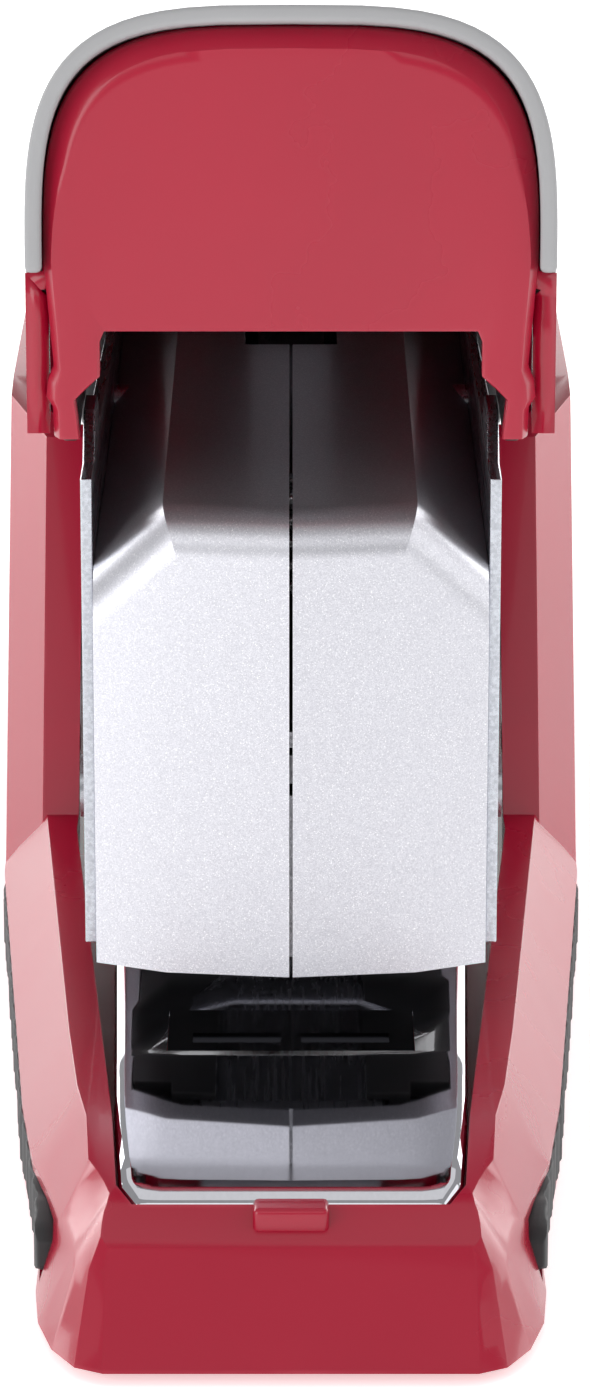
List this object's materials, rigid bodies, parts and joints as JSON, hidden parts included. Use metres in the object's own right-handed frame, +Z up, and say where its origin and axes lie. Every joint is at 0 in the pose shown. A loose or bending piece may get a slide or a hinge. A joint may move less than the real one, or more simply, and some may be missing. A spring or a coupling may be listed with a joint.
{
  "type": "stapler",
  "caption": "Low-force desktop stapler: tapered base with a steel anvil plate, hinged silver housing, sprung handle with a soft grip, and a sliding staple track.",
  "frame": {"origin": "on the surface it stands on, under the middle of its bounding box", "axes": "-Y towards the nose, +Y to the rear hinge, +X across, +Z up"},
  "size_m": [0.0456, 0.168, 0.0845],
  "materials": {
    "base_red": "moulded gloss, fine edge wear",
    "handle_red": "moulded gloss",
    "face_red": "satin gloss",
    "grip_grey": "matte soft-touch, fine mottle",
    "side_rubber": "matte black rubber",
    "foot_rubber": "matte rubber",
    "nose_silver": "fine metallic silver paint",
    "frame_steel": "brushed",
    "plate_steel": "mirror polished",
    "anvil_steel": "ground",
    "bracket_steel": "zinc plated",
    "pin_steel": "turned",
    "screw_steel": "zinc plated",
    "spring_steel": "drawn wire",
    "guide_black": "moulded black",
    "track_steel": "stamped",
    "staple_steel": "galvanised wire",
    "pull_black": "moulded black",
    "pusher_red": "moulded",
    "striker_steel": "hardened",
    "lever_steel": "stamped",
    "stiffener_steel": "stamped"
  },
  "bodies": {
    "base": {"base_shell": "base_red", "base_plate": "plate_steel", "anvil": "anvil_steel", "left_grip": "side_rubber", "right_grip": "side_rubber", "front_foot": "foot_rubber", "rear_foot": "foot_rubber", "base_screws": "screw_steel", "base_bracket": "bracket_steel", "body_pivot_pin": "pin_steel", "lift_spring": "spring_steel"},
    "housing": {"left_housing": "nose_silver", "right_housing": "nose_silver", "left_frame": "frame_steel", "right_frame": "frame_steel", "track_guide": "guide_black", "housing_screws": "screw_steel", "lever_pin": "pin_steel", "handle_pin": "pin_steel", "power_spring": "spring_steel", "handle_spring": "spring_steel"},
    "handle": {"handle_shell": "handle_red", "handle_pad": "grip_grey", "face_plate": "face_red", "handle_stiffener": "stiffener_steel"},
    "lever": {"lever": "lever_steel"},
    "striker": {"striker": "striker_steel"},
    "track": {"staple_track": "track_steel", "staple_strip": "staple_steel", "spring_rod": "pin_steel", "track_pull": "pull_black"},
    "pusher": {"staple_pusher": "pusher_red", "pusher_spring": "spring_steel"}
  },
  "joints": [
    {"name": "housing_hinge", "type": "hinge", "parent": "base", "child": "housing", "pos_m": [0, 0.06, 0.03], "axis": [1, 0, 0], "range_deg": [-12, 2.5], "stiffness_Nm_per_rad": 2, "springref_deg": -3.44, "deforming": ["lift_spring"]},
    {"name": "handle_hinge", "type": "hinge", "parent": "housing", "child": "handle", "pos_m": [0, 0.068, 0.041], "axis": [1, 0, 0], "range_deg": [0, 8], "stiffness_Nm_per_rad": 1, "springref_deg": -6.88, "deforming": ["handle_spring"]},
    {"name": "lever_hinge", "type": "hinge", "parent": "housing", "child": "lever", "pos_m": [0, -0.018, 0.038], "axis": [1, 0, 0], "range_deg": [-22, 0], "deforming": ["power_spring"]},
    {"name": "striker_slide", "type": "slide", "parent": "housing", "child": "striker", "axis": [0, 0, 1], "range_m": [0, 0.0136]},
    {"name": "track_slide", "type": "slide", "parent": "housing", "child": "track", "axis": [0, 1, 0], "range_m": [0, 0.045]},
    {"name": "pusher_slide", "type": "slide", "parent": "track", "child": "pusher", "axis": [0, 1, 0], "range_m": [0, 0.03], "stiffness_N_per_m": 60, "springref_m": -0.012, "deforming": ["pusher_spring"]}
  ],
  "couplings": [
    {"joint": "lever_hinge", "follows": "handle_hinge", "ratio": -2.75},
    {"joint": "striker_slide", "follows": "handle_hinge", "m_per_rad": 0.0971}
  ]
}
